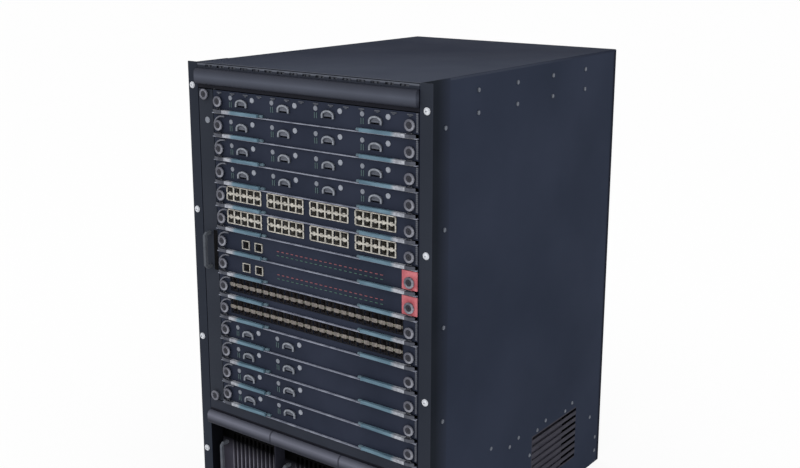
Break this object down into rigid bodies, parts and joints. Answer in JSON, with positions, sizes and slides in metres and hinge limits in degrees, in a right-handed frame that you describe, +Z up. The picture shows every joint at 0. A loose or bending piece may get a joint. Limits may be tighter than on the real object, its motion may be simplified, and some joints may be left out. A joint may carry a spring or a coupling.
{
  "type": "modular chassis switch",
  "caption": "Tall rack-mounted modular network chassis: horizontal plug-in cards with ejector levers, a side fan tray and a lower bay of power modules.",
  "frame": {"origin": "middle of the base, on the floor", "axes": "front faces -Y, +X is right seen from the front, +Z is up"},
  "size_m": [0.4826, 0.62, 0.7973],
  "materials": {
    "cover": "fine textured dark slate paint",
    "front_metal": "fine textured dark slate paint",
    "frame_metal": "zinc plated sheet",
    "bezel": "satin moulded plastic",
    "card": "dark blue-grey panel over a green board",
    "lever": "blue-grey anodised",
    "rotor": "black moulding",
    "module": "dark slate paint",
    "board": "green laminate",
    "screw": "bright zinc"
  },
  "bodies": {
    "chassis": {"outer_cover": "cover", "base_tray": "frame_metal", "rear_panel": "cover", "power_shelf": "frame_metal", "guide_wall_left": "frame_metal", "guide_wall_right": "frame_metal", "rack_ear_left": "front_metal", "rack_ear_right": "front_metal", "upper_bezel": "bezel", "lower_bezel": "bezel", "backplane": "board", "panel_screws": "screw"},
    "card_01": {"card_01": "card"},
    "card_01_lever_left": {"card_01_lever_left": "lever"},
    "card_01_lever_right": {"card_01_lever_right": "lever"},
    "card_02": {"card_02": "card"},
    "card_02_lever_left": {"card_02_lever_left": "lever"},
    "card_02_lever_right": {"card_02_lever_right": "lever"},
    "card_03": {"card_03": "card"},
    "card_03_lever_left": {"card_03_lever_left": "lever"},
    "card_03_lever_right": {"card_03_lever_right": "lever"},
    "card_04": {"card_04": "card"},
    "card_04_lever_left": {"card_04_lever_left": "lever"},
    "card_04_lever_right": {"card_04_lever_right": "lever"},
    "card_05": {"card_05": "card"},
    "card_05_lever_left": {"card_05_lever_left": "lever"},
    "card_05_lever_right": {"card_05_lever_right": "lever"},
    "card_06": {"card_06": "card"},
    "card_06_lever_left": {"card_06_lever_left": "lever"},
    "card_06_lever_right": {"card_06_lever_right": "lever"},
    "card_07": {"card_07": "card"},
    "card_07_lever_left": {"card_07_lever_left": "lever"},
    "card_07_lever_right": {"card_07_lever_right": "lever"},
    "card_08": {"card_08": "card"},
    "card_08_lever_left": {"card_08_lever_left": "lever"},
    "card_08_lever_right": {"card_08_lever_right": "lever"},
    "card_09": {"card_09": "card"},
    "card_09_lever_left": {"card_09_lever_left": "lever"},
    "card_09_lever_right": {"card_09_lever_right": "lever"},
    "card_10": {"card_10": "card"},
    "card_10_lever_left": {"card_10_lever_left": "lever"},
    "card_10_lever_right": {"card_10_lever_right": "lever"},
    "card_11": {"card_11": "card"},
    "card_11_lever_left": {"card_11_lever_left": "lever"},
    "card_11_lever_right": {"card_11_lever_right": "lever"},
    "card_12": {"card_12": "card"},
    "card_12_lever_left": {"card_12_lever_left": "lever"},
    "card_12_lever_right": {"card_12_lever_right": "lever"},
    "card_13": {"card_13": "card"},
    "card_13_lever_left": {"card_13_lever_left": "lever"},
    "card_13_lever_right": {"card_13_lever_right": "lever"},
    "card_14": {"card_14": "card"},
    "card_14_lever_left": {"card_14_lever_left": "lever"},
    "card_14_lever_right": {"card_14_lever_right": "lever"},
    "fan_tray": {"fan_tray": "front_metal"},
    "fan_rotor_lower": {"fan_rotor_lower": "rotor"},
    "fan_rotor_upper": {"fan_rotor_upper": "rotor"},
    "power_module_1": {"power_module_1": "module"},
    "power_module_2": {"power_module_2": "module"},
    "power_module_3": {"power_module_3": "module"}
  },
  "joints": [
    {"name": "card_01_slide", "type": "slide", "parent": "chassis", "child": "card_01", "axis": [0, -1, 0], "range_m": [0, 0.4]},
    {"name": "card_01_lever_left_hinge", "type": "hinge", "parent": "card_01", "child": "card_01_lever_left", "pos_m": [-0.17265, -0.3042, 0.72245], "axis": [0, 0, -1], "range_deg": [0, 70]},
    {"name": "card_01_lever_right_hinge", "type": "hinge", "parent": "card_01", "child": "card_01_lever_right", "pos_m": [0.20565, -0.3042, 0.72245], "axis": [0, 0, 1], "range_deg": [0, 70]},
    {"name": "card_02_slide", "type": "slide", "parent": "chassis", "child": "card_02", "axis": [0, -1, 0], "range_m": [0, 0.4]},
    {"name": "card_02_lever_left_hinge", "type": "hinge", "parent": "card_02", "child": "card_02_lever_left", "pos_m": [-0.17265, -0.3042, 0.68435], "axis": [0, 0, -1], "range_deg": [0, 70]},
    {"name": "card_02_lever_right_hinge", "type": "hinge", "parent": "card_02", "child": "card_02_lever_right", "pos_m": [0.20565, -0.3042, 0.68435], "axis": [0, 0, 1], "range_deg": [0, 70]},
    {"name": "card_03_slide", "type": "slide", "parent": "chassis", "child": "card_03", "axis": [0, -1, 0], "range_m": [0, 0.4]},
    {"name": "card_03_lever_left_hinge", "type": "hinge", "parent": "card_03", "child": "card_03_lever_left", "pos_m": [-0.17265, -0.3042, 0.64625], "axis": [0, 0, -1], "range_deg": [0, 70]},
    {"name": "card_03_lever_right_hinge", "type": "hinge", "parent": "card_03", "child": "card_03_lever_right", "pos_m": [0.20565, -0.3042, 0.64625], "axis": [0, 0, 1], "range_deg": [0, 70]},
    {"name": "card_04_slide", "type": "slide", "parent": "chassis", "child": "card_04", "axis": [0, -1, 0], "range_m": [0, 0.4]},
    {"name": "card_04_lever_left_hinge", "type": "hinge", "parent": "card_04", "child": "card_04_lever_left", "pos_m": [-0.17265, -0.3042, 0.60815], "axis": [0, 0, -1], "range_deg": [0, 70]},
    {"name": "card_04_lever_right_hinge", "type": "hinge", "parent": "card_04", "child": "card_04_lever_right", "pos_m": [0.20565, -0.3042, 0.60815], "axis": [0, 0, 1], "range_deg": [0, 70]},
    {"name": "card_05_slide", "type": "slide", "parent": "chassis", "child": "card_05", "axis": [0, -1, 0], "range_m": [0, 0.4]},
    {"name": "card_05_lever_left_hinge", "type": "hinge", "parent": "card_05", "child": "card_05_lever_left", "pos_m": [-0.17265, -0.3042, 0.57005], "axis": [0, 0, -1], "range_deg": [0, 70]},
    {"name": "card_05_lever_right_hinge", "type": "hinge", "parent": "card_05", "child": "card_05_lever_right", "pos_m": [0.20565, -0.3042, 0.57005], "axis": [0, 0, 1], "range_deg": [0, 70]},
    {"name": "card_06_slide", "type": "slide", "parent": "chassis", "child": "card_06", "axis": [0, -1, 0], "range_m": [0, 0.4]},
    {"name": "card_06_lever_left_hinge", "type": "hinge", "parent": "card_06", "child": "card_06_lever_left", "pos_m": [-0.17265, -0.3042, 0.53195], "axis": [0, 0, -1], "range_deg": [0, 70]},
    {"name": "card_06_lever_right_hinge", "type": "hinge", "parent": "card_06", "child": "card_06_lever_right", "pos_m": [0.20565, -0.3042, 0.53195], "axis": [0, 0, 1], "range_deg": [0, 70]},
    {"name": "card_07_slide", "type": "slide", "parent": "chassis", "child": "card_07", "axis": [0, -1, 0], "range_m": [0, 0.4]},
    {"name": "card_07_lever_left_hinge", "type": "hinge", "parent": "card_07", "child": "card_07_lever_left", "pos_m": [-0.17265, -0.3042, 0.49385], "axis": [0, 0, -1], "range_deg": [0, 70]},
    {"name": "card_07_lever_right_hinge", "type": "hinge", "parent": "card_07", "child": "card_07_lever_right", "pos_m": [0.20565, -0.3042, 0.49385], "axis": [0, 0, 1], "range_deg": [0, 70]},
    {"name": "card_08_slide", "type": "slide", "parent": "chassis", "child": "card_08", "axis": [0, -1, 0], "range_m": [0, 0.4]},
    {"name": "card_08_lever_left_hinge", "type": "hinge", "parent": "card_08", "child": "card_08_lever_left", "pos_m": [-0.17265, -0.3042, 0.45575], "axis": [0, 0, -1], "range_deg": [0, 70]},
    {"name": "card_08_lever_right_hinge", "type": "hinge", "parent": "card_08", "child": "card_08_lever_right", "pos_m": [0.20565, -0.3042, 0.45575], "axis": [0, 0, 1], "range_deg": [0, 70]},
    {"name": "card_09_slide", "type": "slide", "parent": "chassis", "child": "card_09", "axis": [0, -1, 0], "range_m": [0, 0.4]},
    {"name": "card_09_lever_left_hinge", "type": "hinge", "parent": "card_09", "child": "card_09_lever_left", "pos_m": [-0.17265, -0.3042, 0.41765], "axis": [0, 0, -1], "range_deg": [0, 70]},
    {"name": "card_09_lever_right_hinge", "type": "hinge", "parent": "card_09", "child": "card_09_lever_right", "pos_m": [0.20565, -0.3042, 0.41765], "axis": [0, 0, 1], "range_deg": [0, 70]},
    {"name": "card_10_slide", "type": "slide", "parent": "chassis", "child": "card_10", "axis": [0, -1, 0], "range_m": [0, 0.4]},
    {"name": "card_10_lever_left_hinge", "type": "hinge", "parent": "card_10", "child": "card_10_lever_left", "pos_m": [-0.17265, -0.3042, 0.37955], "axis": [0, 0, -1], "range_deg": [0, 70]},
    {"name": "card_10_lever_right_hinge", "type": "hinge", "parent": "card_10", "child": "card_10_lever_right", "pos_m": [0.20565, -0.3042, 0.37955], "axis": [0, 0, 1], "range_deg": [0, 70]},
    {"name": "card_11_slide", "type": "slide", "parent": "chassis", "child": "card_11", "axis": [0, -1, 0], "range_m": [0, 0.4]},
    {"name": "card_11_lever_left_hinge", "type": "hinge", "parent": "card_11", "child": "card_11_lever_left", "pos_m": [-0.17265, -0.3042, 0.34145], "axis": [0, 0, -1], "range_deg": [0, 70]},
    {"name": "card_11_lever_right_hinge", "type": "hinge", "parent": "card_11", "child": "card_11_lever_right", "pos_m": [0.20565, -0.3042, 0.34145], "axis": [0, 0, 1], "range_deg": [0, 70]},
    {"name": "card_12_slide", "type": "slide", "parent": "chassis", "child": "card_12", "axis": [0, -1, 0], "range_m": [0, 0.4]},
    {"name": "card_12_lever_left_hinge", "type": "hinge", "parent": "card_12", "child": "card_12_lever_left", "pos_m": [-0.17265, -0.3042, 0.30335], "axis": [0, 0, -1], "range_deg": [0, 70]},
    {"name": "card_12_lever_right_hinge", "type": "hinge", "parent": "card_12", "child": "card_12_lever_right", "pos_m": [0.20565, -0.3042, 0.30335], "axis": [0, 0, 1], "range_deg": [0, 70]},
    {"name": "card_13_slide", "type": "slide", "parent": "chassis", "child": "card_13", "axis": [0, -1, 0], "range_m": [0, 0.4]},
    {"name": "card_13_lever_left_hinge", "type": "hinge", "parent": "card_13", "child": "card_13_lever_left", "pos_m": [-0.17265, -0.3042, 0.26525], "axis": [0, 0, -1], "range_deg": [0, 70]},
    {"name": "card_13_lever_right_hinge", "type": "hinge", "parent": "card_13", "child": "card_13_lever_right", "pos_m": [0.20565, -0.3042, 0.26525], "axis": [0, 0, 1], "range_deg": [0, 70]},
    {"name": "card_14_slide", "type": "slide", "parent": "chassis", "child": "card_14", "axis": [0, -1, 0], "range_m": [0, 0.4]},
    {"name": "card_14_lever_left_hinge", "type": "hinge", "parent": "card_14", "child": "card_14_lever_left", "pos_m": [-0.17265, -0.3042, 0.22715], "axis": [0, 0, -1], "range_deg": [0, 70]},
    {"name": "card_14_lever_right_hinge", "type": "hinge", "parent": "card_14", "child": "card_14_lever_right", "pos_m": [0.20565, -0.3042, 0.22715], "axis": [0, 0, 1], "range_deg": [0, 70]},
    {"name": "fan_tray_slide", "type": "slide", "parent": "chassis", "child": "fan_tray", "axis": [0, -1, 0], "range_m": [0, 0.42]},
    {"name": "fan_rotor_lower_spin", "type": "hinge", "parent": "fan_tray", "child": "fan_rotor_lower", "pos_m": [-0.2029, -0.09, 0.35613], "axis": [1, 0, 0], "continuous": true},
    {"name": "fan_rotor_upper_spin", "type": "hinge", "parent": "fan_tray", "child": "fan_rotor_upper", "pos_m": [-0.2029, -0.09, 0.62208], "axis": [1, 0, 0], "continuous": true},
    {"name": "power_module_1_slide", "type": "slide", "parent": "chassis", "child": "power_module_1", "axis": [0, -1, 0], "range_m": [0, 0.4]},
    {"name": "power_module_2_slide", "type": "slide", "parent": "chassis", "child": "power_module_2", "axis": [0, -1, 0], "range_m": [0, 0.4]},
    {"name": "power_module_3_slide", "type": "slide", "parent": "chassis", "child": "power_module_3", "axis": [0, -1, 0], "range_m": [0, 0.4]}
  ]
}
